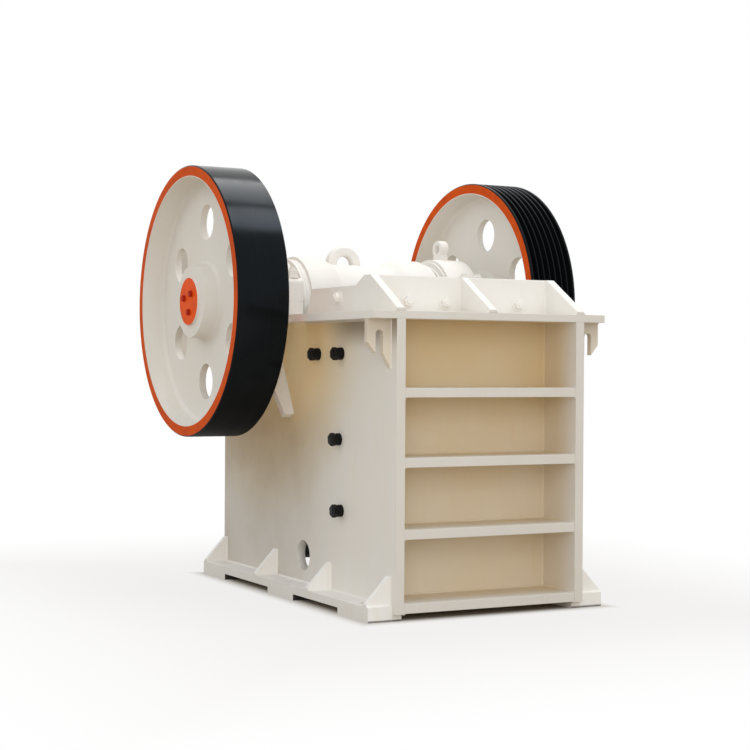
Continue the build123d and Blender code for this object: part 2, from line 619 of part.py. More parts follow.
def wheel(grooved, turn):
    """Cast wheel on the right-hand side: rim, web with round holes, and hub inside the rim's outer face."""
    hub_in = wheel_in - HUB_OUT
    web_in = wheel_mid - WEB / 2
    web_out = wheel_mid + WEB / 2
    rim_r = WHEEL_R - RIM
    bore = SEAT_R + RUN_FIT
    outside = [(hub_in, bore), (hub_face, bore), (hub_face, HUB_R), (web_out, HUB_R + DRAFT),
               (web_out, rim_r - DRAFT), (wheel_out, rim_r), (wheel_out, WHEEL_R - EDGE)]
    inside = [(wheel_in, WHEEL_R - EDGE), (wheel_in, rim_r), (web_in, rim_r - DRAFT),
              (web_in, HUB_R + DRAFT), (hub_in, HUB_R)]
    face = Polygon(*outside, *tread(grooved), *inside, align=None)
    corners = [v for v in face.vertices() if abs(abs(v.X - wheel_mid) - WEB / 2) < EDGE and v.Y < rim_r]
    face = axial_plane(shaft_y, shaft_z) * fillet(corners, CAST_R)
    body = revolve(face, Axis((0, shaft_y, shaft_z), (1, 0, 0)), 360)
    hole_ring = (HUB_R + rim_r) / 2
    for hole in range(HOLES):
        angle = radians(90 + turn + hole * 360 / HOLES)
        place = (shaft_y + hole_ring * cos(angle), shaft_z + hole_ring * sin(angle))
        body -= bar_x(HOLE_R, web_in - WEB, web_out + WEB, *place)
    return body


save("flywheel", flip(wheel(False, 0), -1))
save("pulley", wheel(True, PULLEY_TURN))
save_pairs("end_caps", bar_x(CAP_R, hub_face, hub_face + CAP_T, shaft_y, shaft_z))
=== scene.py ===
"""Jaw crusher: paint, fasteners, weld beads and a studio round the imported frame."""

import json
from math import cos, pi, radians, sin

import bmesh
import bpy
from bpy.props import FloatProperty, FloatVectorProperty, IntProperty, PointerProperty
from mathutils import Matrix, Vector


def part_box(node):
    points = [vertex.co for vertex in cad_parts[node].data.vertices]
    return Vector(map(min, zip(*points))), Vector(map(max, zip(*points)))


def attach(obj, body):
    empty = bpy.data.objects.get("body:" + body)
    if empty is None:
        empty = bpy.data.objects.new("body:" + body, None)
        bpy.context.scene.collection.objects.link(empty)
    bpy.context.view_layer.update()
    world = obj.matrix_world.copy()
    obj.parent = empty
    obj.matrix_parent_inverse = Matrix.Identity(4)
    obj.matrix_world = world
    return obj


bl_info = {
    "name": "Jaw Crusher Finish",
    "version": (1, 0, 0),
    "blender": (4, 5, 0),
    "location": "View3D > Sidebar > Crusher",
    "description": "Paints a jaw crusher and adds its fasteners, weld beads and studio",
    "category": "Object",
}

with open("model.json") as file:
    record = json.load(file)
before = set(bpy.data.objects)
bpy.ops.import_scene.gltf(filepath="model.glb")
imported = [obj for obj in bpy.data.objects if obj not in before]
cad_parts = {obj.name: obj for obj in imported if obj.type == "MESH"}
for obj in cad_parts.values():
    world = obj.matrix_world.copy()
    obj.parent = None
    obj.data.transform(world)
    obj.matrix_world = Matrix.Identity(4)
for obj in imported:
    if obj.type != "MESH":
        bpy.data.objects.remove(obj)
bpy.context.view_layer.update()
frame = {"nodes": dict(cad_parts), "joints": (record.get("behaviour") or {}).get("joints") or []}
SIDES = (-1, 1)
X, Y, Z = Vector((1, 0, 0)), Vector((0, 1, 0)), Vector((0, 0, 1))
HAIR = 0.001  # what a mask reaches past a plane, so that it takes the whole face

# Planes of the welded frame, read from the solids
PLATE_LOW, PLATE_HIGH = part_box("right_side_plate")
WALL_LOW, WALL_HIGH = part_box("front_wall")
REAR_LOW, REAR_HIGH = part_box("rear_wall")
FLANGE_LOW, FLANGE_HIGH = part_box("feed_flange")
BASE_LOW, BASE_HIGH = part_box("right_base_flange")
HOOK_LOW, HOOK_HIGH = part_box("hook_brackets")
CAP_LOW, CAP_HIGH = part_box("right_bearing_cap")
WHEEL_LOW, WHEEL_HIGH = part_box("pulley")
FRONT_Y = PLATE_LOW.y
BACK_Y = PLATE_HIGH.y
INNER_X = PLATE_LOW.x
OUTER_X = PLATE_HIGH.x
FRONT_RIBS = [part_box(f"front_rib_{number}") for number in range(1, 5)]
SHAFT = Vector((0, *frame["joints"][0]["pos_m"][1:]))
WHEEL_R = WHEEL_HIGH.z - SHAFT.z
COVER_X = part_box("bearing_covers")[1].x
END_CAP_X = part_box("end_caps")[1].x

# Gussets and ribs that the welds follow; the base gussets' places are behind the front edge
BASE_GUSSETS = (0.061, 0.725, 1.410, 2.144)
BASE_GUSSET_H = 0.146
BASE_GUSSET_T = 0.030
FEED_GUSSETS = ((-0.555, -0.510), (-0.020, 0.020), (0.510, 0.555))
RADIAL_TURN = radians(28.95)
RADIAL_T = 0.040
RADIAL_NEAR = 0.292
RADIAL_FAR = 0.724
REAR_RIBS = 3

# Fasteners: places behind the side plates' front edge and above the floor, turns and heights
LINER_BOLTS = ((0.880, 1.317), (0.603, 1.319), (0.624, 0.871), (0.599, 0.499))
LINER_TURN = radians(12)
LINER_T = 0.050
FLUSH_HEAD = (-0.002, 0.0025)
CHEEK_BOLT = (0.640, 1.614)
FEED_BOLT_XS = (0.1115, 0.3345)
FEED_BOLT_Z = 1.588
FEED_TURN = radians(20)
EAR_UP = 0.130
EAR_BOLT_Y = 0.336
EAR_BOLT_IN = 0.050
EAR_TURN = radians(15)
WASHER_T = 0.006
SUNK = 0.0005  # how far a fastener sinks into what carries it
COVER_STEP = 0.012
COVER_SCREWS = 10
COVER_SCREW_R = 0.200
COVER_SCREW_H = 0.011
CAP_BOLTS = 3
CAP_BOLT_R = 0.062
CAP_BOLT_H = 0.016
CAP_BOLT_TURN = 18
WEDGE_UP = Vector((0, 0.379, 0.925))
WEDGE_BOLT_XS = (-0.30, -0.10, 0.10, 0.30)
WEDGE_BOLT_BACK = 0.010
WEDGE_BOLT_SUNK = 0.008
WEDGE_NUT = (0.046, 0.024)
CHAMFER = 0.06  # share of a nut's width

# Weld bead, in legs of the fillet: length of a step, crown, root, ripple's height and pitch
BEAD_STEP = 1.1
BEAD_CROWN = 0.58
BEAD_ROOT = -0.08
RIPPLE = 0.08
RIPPLE_PITCH = 3.3

# Rim of a wheel: bands of radius below the tread, and the depth of its painted sides
RIM_INNER = 0.0585
RIM_OUTER = 0.0065
TREAD_INNER = 0.045
RIM_W = 0.2935
RIM_SKIN = 0.0015

# Camera of the photograph: place in metres, angles, lens and sensor in millimetres
CAMERA = (-4.3992, -8.1862, 1.2554)
YAW = radians(27.722)
PITCH = radians(-0.309)
ROLL = radians(0.3717)
LENS = 79.01
SENSOR = 36.0

# Studio: place, target and width of each lamp, and the floor
LAMPS = {
    "key": ((-3.4, -8.2, 2.5), (0, 0, 0.9), 5.0),
    "top": ((1.3, 1.5, 7.0), (0, 0, 1.4), 2.5),
    "front": ((1.5, -1.7, 7.2), (-0.9, 0, 2.0), 1.9),
    "side": ((-6.5, 2.5, 5.0), (-0.8, 0.4, 1.6), 4.0),
}
FLOOR_R = 60.0
FLOOR_COLOUR = (0.47, 0.41, 0.33, 1)
WHITE = (1, 1, 1, 1)

# Nodes by finish: FRAME_NODES and PAINTED_CASTINGS also get rounded edges
FRAME_NODES = (
    "left_side_plate", "right_side_plate", "front_wall", "front_rib_1", "front_rib_2", "front_rib_3",
    "front_rib_4", "feed_flange", "feed_gussets", "hook_brackets", "base_gussets", "radial_gussets",
    "rear_wall", "rear_ribs", "jaw_rest_bar", "toggle_guides", "rod_bracket",
)
BASE_NODES = ("left_base_flange", "right_base_flange")
PAINTED_CASTINGS = (
    "left_bearing_base", "right_bearing_base", "left_bearing_cap", "right_bearing_cap", "bearing_covers",
    "pitman", "pitman_covers", "rod_lugs",
)
BARE_CASTINGS = ("toggle_plate", "toggle_block", "rear_toggle_seat", "pitman_toggle_seat", "jaw_wedge")
JOIN = 0.0001  # corners closer than this are merged before the rounding
SHARP = radians(40)  # edges that turn by more than this are rounded


def linear(red, green, blue):
    """A written colour, from 0 to 255, as light."""
    parts = [part / 255 for part in (red, green, blue)]
    return tuple(part / 12.92 if part <= 0.04045 else ((part + 0.055) / 1.055) ** 2.4 for part in parts)


def colour(name, description, default):
    """A colour that the sidebar shows."""
    return FloatVectorProperty(name=name, description=description, default=default, subtype="COLOR",
                               min=0, max=1)


def length(name, description, default):
    """A size in metres that the sidebar shows."""
    return FloatProperty(name=name, description=description, default=default, unit="LENGTH", min=0)


class CrusherPaint(bpy.types.PropertyGroup):
    """Colours of the paint and the bare metal, and of the light and shade painted into the cream."""

    cream: colour("Cream", "Paint of the frame and the castings", linear(231, 226, 218))
    # Lighter cream: painted light over the head and on the feet's upper faces
    painted_light: colour("Painted light cream", "Cleaner paint of the head and the feet", linear(246, 243, 238))
    # Also used as painted shade: deep in the front bays, together with a dusty tint, and on the hooks under
    # the feed flange
    shade: colour("Dust", "Dust and stain in the cream paint", linear(218, 188, 128))
    # Brighter yellow cream: painted bounce light on the side plates beside the wheels
    painted_bounce_light: colour("Painted bounce light", "Cream paint beside the wheels", linear(246, 220, 166))
    # Darker colour: painted shade on the side plates towards the back, under the feed flange and on the
    # faces in the front plane
    painted_shade: colour("Painted shade", "Darker film on the sides, towards the back", linear(150, 133, 112))
    orange: colour("Orange", "Paint of the rims' sides", linear(216, 84, 18))
    cap: colour("Cap orange", "Brighter paint of the end caps", linear(240, 88, 16))
    black: colour("Black", "Paint of the treads and the liner bolts", linear(13, 14, 14))
    manganese: colour("Manganese", "Cast steel of the jaw plates and liners", linear(104, 99, 93))
    steel: colour("Steel", "Machined steel of the shaft and the rod", linear(176, 176, 174))
    casting: colour("Casting", "Unpainted castings of the toggle", linear(86, 81, 76))


class CrusherSizes(bpy.types.PropertyGroup):
    """Sizes of the fasteners and the welds."""

    liner_nut: length("Liner nut", "Width of a liner bolt's nuts across their corners", 0.069)
    liner_stand: length("Liner nut height", "Height of a liner bolt's nut", 0.028)
    feed_nut: length("Feed nut", "Width of a feed plate nut across its corners", 0.056)
    ear_nut: length("Ear nut", "Width of a bearing ear's nut across its corners", 0.064)
    screw: length("Screw", "Width of a cover screw's head across its corners", 0.026)
    cap_bolt: length("End cap bolt", "Width of an end cap bolt's head across its corners", 0.034)
    weld: length("Weld", "Leg of a fillet weld", 0.007)
    edge: length("Edge", "Rounding of the plates' edges", 0.003)
    edge_steps: IntProperty(name="Edge steps", description="Faces across a rounded edge", default=2, min=1)


class CrusherStudio(bpy.types.PropertyGroup):
    """Light of the studio."""

    sky: FloatProperty(name="Sky", description="Strength of the even light", default=0.86, min=0)
    tint: colour("Sky tint", "Colour of the even light", (0.92, 0.96, 1.0))
    key: FloatProperty(name="Key", description="Power of the front lamp", default=160, min=0, unit="POWER")
    top: FloatProperty(name="Top", description="Power of the overhead lamp", default=85, min=0,
                       unit="POWER")
    front: FloatProperty(name="Front", description="Power of the lamp before the head", default=80, min=0,
                         unit="POWER")
    side: FloatProperty(name="Side", description="Power of the left lamp", default=40, min=0, unit="POWER")


class Signal:
    """A shader socket that takes part in arithmetic."""

    def __init__(self, look, socket):
        self.look = look
        self.socket = socket

    def math(self, operation, first, second):
        """Adds a Math node."""
        return self.look.node("ShaderNodeMath", {"operation": operation}, {0: first, 1: second})

    def __add__(self, other):
        return self.math("ADD", self, other)

    __radd__ = __add__

    def __sub__(self, other):
        return self.math("SUBTRACT", self, other)

    def __rsub__(self, other):
        return self.math("SUBTRACT", other, self)

    def __mul__(self, other):
        return self.math("MULTIPLY", self, other)

    __rmul__ = __mul__

    def __pow__(self, other):
        return self.math("POWER", self, other)

    def __gt__(self, other):
        return self.math("GREATER_THAN", self, other)

    def __lt__(self, other):
        return self.math("LESS_THAN", self, other)

    def __abs__(self):
        return self.math("ABSOLUTE", self, 0.0)


class Look:
    """A shader tree, and the method that adds nodes to it."""

    def __init__(self, tree):
        self.tree = tree
        self.tree.nodes.clear()
        self.place = self.node("ShaderNodeTexCoord", out="Object")

    def node(self, kind, settings=None, inputs=None, out=0):
        """Adds a node: its settings first, then its sockets' values or links."""
        made = self.tree.nodes.new(kind)
        for key, value in (settings or {}).items():
            setattr(made, key, value)
        for key, value in (inputs or {}).items():
            if isinstance(value, Signal):
                self.tree.links.new(value.socket, made.inputs[key])
            else:
                made.inputs[key].default_value = value
        return Signal(self, made.outputs[out]) if made.outputs else None

    def axis(self, letter):
        """One coordinate of the surface, in metres."""
        return self.node("ShaderNodeSeparateXYZ", None, {"Vector": self.place}, letter)

    def normal(self, letter):
        """One part of the surface's direction."""
        normal = self.node("ShaderNodeNewGeometry", out="Normal")
        return self.node("ShaderNodeSeparateXYZ", None, {"Vector": normal}, letter)

    def stretched(self, x, y, z):
        """The coordinates times a factor along each axis."""
        return self.node("ShaderNodeMapping", None, {"Vector": self.place, "Scale": (x, y, z)})

    def noise(self, scale, detail=3.0, rough=0.55, place=None):
        """Soft cloudy pattern from 0 to 1."""
        inputs = {"Vector": place or self.place, "Scale": scale, "Detail": detail, "Roughness": rough}
        return self.node("ShaderNodeTexNoise", None, inputs)

    def rise(self, value, start, end):
        """Smooth step from 0 at start to 1 at end."""
        inputs = {"Value": value, "From Min": start, "From Max": end}
        return self.node("ShaderNodeMapRange", {"interpolation_type": "SMOOTHSTEP"}, inputs)

    def blend(self, first, second, share):
        """Mix of two colours."""
        first, second = (tuple(c) + (1,) if not isinstance(c, Signal) else c for c in (first, second))
        return self.node("ShaderNodeMix", {"data_type": "RGBA"}, {0: share, 6: first, 7: second}, 2)


class Coat(Look):
    """A material made of one principled shader."""

    def __init__(self, name):
        self.material = bpy.data.materials.new(name)
        self.material.use_nodes = True
        super().__init__(self.material.node_tree)

    def shader(self, base, roughness, height=None, depth=0.0, metallic=0.0, specular=0.15,
               gleam=(1, 1, 1)):
        """A principled shader with an optional relief."""
        inputs = {"Base Color": base, "Roughness": roughness, "Metallic": metallic,
                  "Specular IOR Level": specular, "Specular Tint": (*gleam, 1)}
        if height is not None:
            inputs["Normal"] = self.node("ShaderNodeBump", None, {"Height": height, "Distance": depth})
        return self.node("ShaderNodeBsdfPrincipled", None, inputs)

    def close(self, shader):
        """Joins a shader to the output."""
        self.node("ShaderNodeOutputMaterial", None, {"Surface": shader})
        return self.material

    def finish(self, *values, **named):
        """A material of one principled shader."""
        return self.close(self.shader(*values, **named))


def paint():
    """The colours in use."""
    return bpy.context.scene.crusher_paint


def sizes():
    """The sizes in use."""
    return bpy.context.scene.crusher_sizes


def studio():
    """The light in use."""
    return bpy.context.scene.crusher_studio


def round_shaft(look):
    """Distance of the surface from the shaft's axis."""
    return ((look.axis("Y") - SHAFT.y) ** 2.0 + (look.axis("Z") - SHAFT.z) ** 2.0) ** 0.5


def cream_coat(look):
    """Colour and roughness of the cream paint: cloudy mottling, stains, a dusty tint with painted shade in
    the front bays, painted bounce light beside the wheels, painted shade on the sides and hooks, and
    painted light on the head and the feet.
    """
    cloud = look.noise(2.3, 4.0)
    speck = look.noise(38.0, 2.0, 0.6)
    height = look.axis("Z")
    low = 1 - look.rise(height, 0.02, 0.34)
    streak = look.noise(5.0, 4.0, 0.6, look.stretched(3.0, 3.0, 0.35))
    stain = look.rise(streak, 0.52, 0.78) * (low * 0.08 + 0.08) + look.rise(speck, 0.66, 0.74) * 0.06
    depth = look.axis("Y")
    across = abs(look.axis("X"))
    upright = abs(look.normal("X")) > 0.9
    under_flange = height < FLANGE_LOW.z

    # A dusty tint and painted shade lie deep in the bays between the front ribs, stronger towards the top,
    # less on their side walls
    bay = (across < INNER_X + HAIR) * (depth < WALL_LOW.y + 2 * HAIR) * (height < FLANGE_LOW.z + HAIR)
    inwards = look.rise(depth, FRONT_Y + 4 * HAIR, FRONT_Y + 0.19)
    bay_dust_and_shade = bay * inwards * (0.46 + look.rise(height, 0.5, 1.45) * 0.28) * (1 - upright * 0.35)

    # Painted bounce light yellows the side plates beside the wheels; painted shadow darkens them under the
    # feed flange and towards the back, and darkens the hooks' tops; painted shade darkens the faces in the
    # front plane
    plate = upright * (across > OUTER_X - 2 * HAIR) * (across < OUTER_X + 3 * HAIR)
    # Painted bounce light: brighter yellow cream on the side plates near the wheels, below the feed flange
    near = under_flange * (1 - look.rise(round_shaft(look), WHEEL_R - 0.10, WHEEL_R + 0.60))
    painted_bounce_light = plate * near * (0.62 + cloud * 0.5)
    outside = (across > OUTER_X + 4 * HAIR) * (across < WHEEL_LOW.x - 0.02)
    hook = outside * (height > HOOK_LOW.z) * (height < FLANGE_LOW.z - HAIR)
    # Painted shadow of the feed flange on the side plates' front part and on the hooks' tops
    eave = look.rise(height, FLANGE_LOW.z - 0.17, FLANGE_LOW.z - 0.02) * under_flange
    eave *= plate * (1 - look.rise(depth, FRONT_Y + 0.45, FRONT_Y + 0.85)) + hook * 0.4
    # Painted shadow of the wheels: darker towards the back, below about a metre
    back = look.rise(depth, FRONT_Y + 0.50, FRONT_Y + 1.35) * (1 - look.rise(height, 0.85, 1.15))
    painted_shade_share = plate * back * (0.17 + cloud * 0.36) * (1 + look.rise(height, 0.45, 0.75) * 0.45)
    painted_shade_share += eave * 0.78
    # Painted shade: the faces in the front plane are darker
    painted_shade_share += (depth < FRONT_Y + 3 * HAIR) * (0.10 + cloud * 0.10)

    # The head and the feet's upper faces get lighter cream: painted light
    head = look.rise(height, FLANGE_LOW.z - 0.06, FLANGE_HIGH.z + 0.10) * (across < WHEEL_LOW.x - 0.02)
    foot = outside * (height < BASE_HIGH.z + BASE_GUSSET_H + 2 * HAIR) * (1 - upright * 0.9)
    painted_light_share = head * 0.45 + foot * 0.85

    # The hooks take the dust colour as painted shade under the feed flange
    shade = stain + look.rise(cloud, 0.35, 0.75) * 0.06 + bay_dust_and_shade * (0.8 + cloud * 0.4) + hook * 0.25
    base = look.blend(look.blend(paint().cream, paint().painted_light, painted_light_share), paint().shade, shade)
    base = look.blend(base, paint().painted_bounce_light, painted_bounce_light)
    return look.blend(base, paint().painted_shade, painted_shade_share), 0.44 + cloud * 0.16


def paint_relief(look):
    """Orange peel of a sprayed coat."""
    return look.noise(420.0, 2.0, 0.5)


def frame_finish():
    """Cream paint on welded plate."""
    look = Coat("frame_cream")
    base, roughness = cream_coat(look)
    return look.finish(base, roughness, paint_relief(look), 0.0004)


def casting_finish():
    """Cream paint on a cast skin."""
    look = Coat("casting_cream")
    base, roughness = cream_coat(look)
    skin = look.noise(95.0, 4.0, 0.65) + paint_relief(look) * 0.3
    return look.finish(base, roughness, skin, 0.0011)


def pad_finish():
    """Cream pads with ends painted near black as shadow, and a dark line of soiling and painted contact
    shadow along the front pads' floor.
    """
    look = Coat("pad_stained")
    base, roughness = cream_coat(look)
    painted_shade = look.noise(14.0, 4.0)
    facing_front = look.normal("Y") < -0.7
    # Painted shadow: the pads' ends behind the front go near black
    end = facing_front * (look.axis("Y") > FRONT_Y + 0.20)
    # A dark line at the floor on the front pads: partly soiling, partly painted contact shadow
    foot = facing_front * (1 - look.rise(look.axis("Z"), 0.005, 0.013))
    dirt_and_shade = end * 0.96 + foot * (0.55 + painted_shade * 0.4) * (1 - end)
    base = look.blend(base, linear(34, 28, 26), dirt_and_shade)
    return look.finish(base, roughness + 0.2, look.noise(60.0, 4.0), 0.001)


def wheel_finish():
    """Cream dish, orange rim sides and black tread, told apart by radius and the rim's side planes."""
    look = Coat("wheel_paint")
    base, roughness = cream_coat(look)
    radius = round_shaft(look)
    across = abs(look.axis("X"))
    face = (across > WHEEL_HIGH.x - RIM_SKIN) + (across < WHEEL_HIGH.x - RIM_W)
    cloud = look.noise(9.0, 4.0)
    orange = look.blend(paint().orange, linear(176, 62, 22), look.rise(cloud, 0.4, 0.75) * 0.5)
    chip = look.rise(look.noise(42.0, 5.0, 0.7), 0.67, 0.71)
    orange = look.blend(orange, linear(96, 48, 30), chip * 0.6)
    on_rim = face * (radius > WHEEL_R - RIM_INNER) * (radius < WHEEL_R - RIM_OUTER)
    base = look.blend(base, orange, on_rim)
    painted = look.shader(base, roughness, look.noise(95.0, 4.0, 0.65), 0.0006, specular=0.03)
    ring = look.noise(1.0, 3.0, 0.6, look.stretched(160.0, 1.2, 1.2))
    smear = look.noise(3.5, 5.0, 0.6, look.stretched(4.0, 1.0, 1.0))
    black = look.blend(paint().black, linear(34, 34, 36), look.rise(ring, 0.45, 0.8) * 0.25)
    glossy = look.shader(black, 0.11 + smear * 0.12, ring, 0.00005, specular=0.12, gleam=(0.66, 0.82, 1.0))
    matte = look.shader(black, 0.5 + smear * 0.12, specular=0.04)
    under = look.rise(0 - look.normal("Z"), 0.45, 0.85)
    dark = look.node("ShaderNodeMixShader", None, {0: under, 1: glossy, 2: matte})
    tread = (radius > WHEEL_R - TREAD_INNER) * (1 - on_rim)
    return look.close(look.node("ShaderNodeMixShader", None, {0: tread, 1: painted, 2: dark}))


def cap_finish():
    """Bright orange face on a cream side."""
    look = Coat("cap_orange")
    across = abs(look.axis("X"))
    cloud = look.noise(14.0, 4.0)
    orange = look.blend(paint().cap, linear(196, 70, 22), look.rise(cloud, 0.4, 0.75) * 0.5)
    base = look.blend(orange, paint().cream, across < END_CAP_X - 3 * HAIR)
    return look.finish(base, 0.36 + cloud * 0.14, look.noise(300.0, 2.0), 0.0004, specular=0.04)


def cap_bolt_finish():
    """Darker orange of the bolts."""
    look = Coat("bolt_orange")
    cloud = look.noise(40.0, 4.0)
    base = look.blend(linear(186, 48, 26), linear(132, 34, 18), look.rise(cloud, 0.4, 0.7) * 0.6)
    return look.finish(base, 0.36 + cloud * 0.14, look.noise(300.0, 2.0), 0.0004, specular=0.04)


def manganese_finish():
    """Cast wearing steel, stained brown."""
    look = Coat("manganese_steel")
    grain = look.noise(70.0, 6.0, 0.7)
    cloud = look.noise(6.0, 5.0)
    base = look.blend(paint().manganese, linear(126, 92, 66), look.rise(cloud, 0.5, 0.8) * 0.55)
    base = look.blend(base, linear(58, 54, 50), look.rise(grain, 0.55, 0.8) * 0.6)
    return look.finish(base, 0.52 + grain * 0.22, grain, 0.0018, metallic=0.55)


def steel_finish():
    """Turned steel with a film of oil."""
    look = Coat("machined_steel")
    turning = look.noise(1.0, 2.0, 0.6, look.stretched(900.0, 6.0, 6.0))
    oil = look.noise(8.0, 4.0)
    base = look.blend(paint().steel, linear(120, 112, 98), look.rise(oil, 0.45, 0.8) * 0.6)
    return look.finish(base, 0.22 + turning * 0.2, turning, 0.0002, metallic=1.0)


def rough_casting_finish():
    """Bare sand casting, stained brown."""
    look = Coat("rough_casting")
    grain = look.noise(110.0, 5.0, 0.7)
    cloud = look.noise(5.0, 4.0)
    base = look.blend(paint().casting, linear(112, 78, 54), look.rise(cloud, 0.5, 0.78) * 0.5)
    return look.finish(base, 0.6 + grain * 0.2, grain, 0.0016, metallic=0.35)


def black_finish(name):
    """Black paint, worn in spots."""
    look = Coat(name)
    cloud = look.noise(60.0, 4.0)
    base = look.blend(paint().black, linear(52, 48, 46), look.rise(cloud, 0.58, 0.78) * 0.35)
    return look.finish(base, 0.36 + cloud * 0.2, look.noise(240.0, 3.0), 0.0005, specular=0.15)


def dress(material, *names):
    """Gives CAD nodes a material."""
    for name in names:
        for slot in frame["nodes"][name].material_slots:
            slot.material = material


def soften(*names):
    """Rounds the plates' edges."""
    for name in names:
        node = frame["nodes"][name]
        weld = node.modifiers.new("join", "WELD")
        weld.merge_threshold = JOIN
        bevel = node.modifiers.new("edge", "BEVEL")
        bevel.width = sizes().edge
        bevel.segments = sizes().edge_steps
        bevel.limit_method = "ANGLE"
        bevel.angle_limit = SHARP


def piece(name, mesh, material, body):
    """Turns a bmesh into a piece that rides on a body."""
    data = bpy.data.meshes.new(name)
    bmesh.ops.recalc_face_normals(mesh, faces=mesh.faces)
    mesh.to_mesh(data)
    mesh.free()
    made = bpy.data.objects.new(name, data)
    data.materials.append(material)
    bpy.context.scene.collection.objects.link(made)
    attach(made, body)
    return made


def facing(place, axis, turn=0.0):
    """Matrix that stands a shape on a place, along an axis."""
    lean = Vector((0, 0, 1)).rotation_difference(Vector(axis)).to_matrix().to_4x4()
    return Matrix.Translation(place) @ lean @ Matrix.Rotation(turn, 4, "Z")


def prism(mesh, stand, radius, low, high, sides, chamfer):
    """Upright prism between two heights over a stand, its upper rim chamfered."""
    lift = stand @ Matrix.Translation((0, 0, (low + high) / 2))
    made = bmesh.ops.create_cone(mesh, cap_ends=True, segments=sides, radius1=radius, radius2=radius,
                                 depth=high - low, matrix=lift)
    up = stand.to_3x3() @ Vector((0, 0, 1))
    top = (stand @ Vector((0, 0, high))).dot(up)
    upper = {v for v in made["verts"] if abs(v.co.dot(up) - top) < 1e-5}
    rim = [e for e in mesh.edges if e.verts[0] in upper and e.verts[1] in upper]
    bmesh.ops.bevel(mesh, geom=rim, offset=chamfer, offset_type="OFFSET", segments=2, profile=0.5,
                    affect="EDGES", material=-1)


def nut_on_stud(mesh, stand, width, height):
    """Hexagon nut with the end of its stud standing out."""
    prism(mesh, stand, width / 2, 0.0, height, 6, width * CHAMFER)
    prism(mesh, stand, width * 0.28, height * 0.9, height * 1.35, 20, width * 0.035)


def double_nut(mesh, stand, width, height):
    """Nut and lock nut, each chamfered on both sides, with the end of their stud just showing."""
    for low in (0.0, height):
        prism(mesh, stand, width * 0.46, low, low + height * 0.16, 28, height * 0.01)
        prism(mesh, stand @ Matrix.Rotation(low / height * 0.4, 4, "Z"), width / 2, low + height * 0.12,
              low + height, 6, width * CHAMFER)
    prism(mesh, stand, width * 0.28, height * 1.9, height * 2.12, 20, width * 0.035)


def hex_head(mesh, stand, width, height):
    """Hexagon bolt head on its round collar."""
    prism(mesh, stand, width * 0.56, 0.0, height * 0.18, 24, height * 0.05)
    prism(mesh, stand, width / 2, height * 0.15, height, 6, width * CHAMFER)


def nut_on_washer(mesh, stand, width, spread, height):
    """Washer, and on it a nut with its stud. Spread is the washer's radius."""
    prism(mesh, stand, spread, -SUNK, WASHER_T, 28, WASHER_T * 0.25)
    nut_on_stud(mesh, stand @ Matrix.Translation((0, 0, WASHER_T - SUNK)), width, height)


def bead(mesh, start, end, first, second):
    """Rippled fillet weld along a corner: first and second point from the corner along its two faces."""
    start, end, first, second = (Vector(v) for v in (start, end, first, second))
    leg = sizes().weld
    way = end - start
    line = way.normalized()
    out = (first + second).normalized()
    steps = max(2, round(way.length / (BEAD_STEP * leg)))
    run = bmesh.new()
    both = (first + second) * leg
    points = (first * leg, both * BEAD_CROWN, second * leg, both * BEAD_ROOT)
    section = run.faces.new([run.verts.new(start + point) for point in points])
    bmesh.ops.spin(run, geom=[section], cent=start, axis=(0, 0, 1), dvec=way / steps, angle=0.0,
                   steps=steps, use_duplicate=False)
    for vert in run.verts:
        along = (vert.co - start).dot(line)
        vert.co += out * leg * RIPPLE * sin(2 * pi * along / (RIPPLE_PITCH * leg))
    append(mesh, run)


def append(mesh, made):
    """Adds a finished bmesh to a larger one."""
    data = bpy.data.meshes.new("append")
    made.to_mesh(data)
    made.free()
    mesh.from_mesh(data)
    bpy.data.meshes.remove(data)


def rib_seams(low, high, wall_y, open_y):
    """Corners where a rib meets its wall and both side plates."""
    away = Y if open_y > wall_y else -Y
    for z, up in ((high.z, Z), (low.z, -Z)):
        yield (low.x, wall_y, z), (high.x, wall_y, z), away, up
        for x, inwards in ((low.x, X), (high.x, -X)):
            yield (x, wall_y, z), (x, open_y, z), inwards, up


def wall_seams(ribs, top, wall_y, away):
    """Upright corners between a wall and both side plates, from rib to rib."""
    for (low, high), end in zip(ribs, [rib[0].z for rib in ribs[1:]] + [top]):
        if end > high.z:
            for x, inwards in ((low.x, X), (high.x, -X)):
                yield (x, wall_y, high.z), (x, wall_y, end), inwards, away


def base_seams(side):
    """Corners of one base flange and its gussets."""
    out = X * side
    x = OUTER_X * side
    edge = BASE_HIGH.x * side
    z = BASE_HIGH.z
    rows = [FRONT_Y + row for row in BASE_GUSSETS]
    half = BASE_GUSSET_T / 2
    for y0, y1 in zip([BASE_LOW.y] + rows, rows + [BASE_HIGH.y]):
        if y1 - y0 > 4 * half:
            yield (x, y0 + half, z), (x, y1 - half, z), out, Z
    for row in rows:
        for face in SIDES:
            y = row + face * half
            yield (x, y, z), (x, y, z + BASE_GUSSET_H), out, Y * face
            yield (x, y, z), (edge, y, z), Y * face, Z


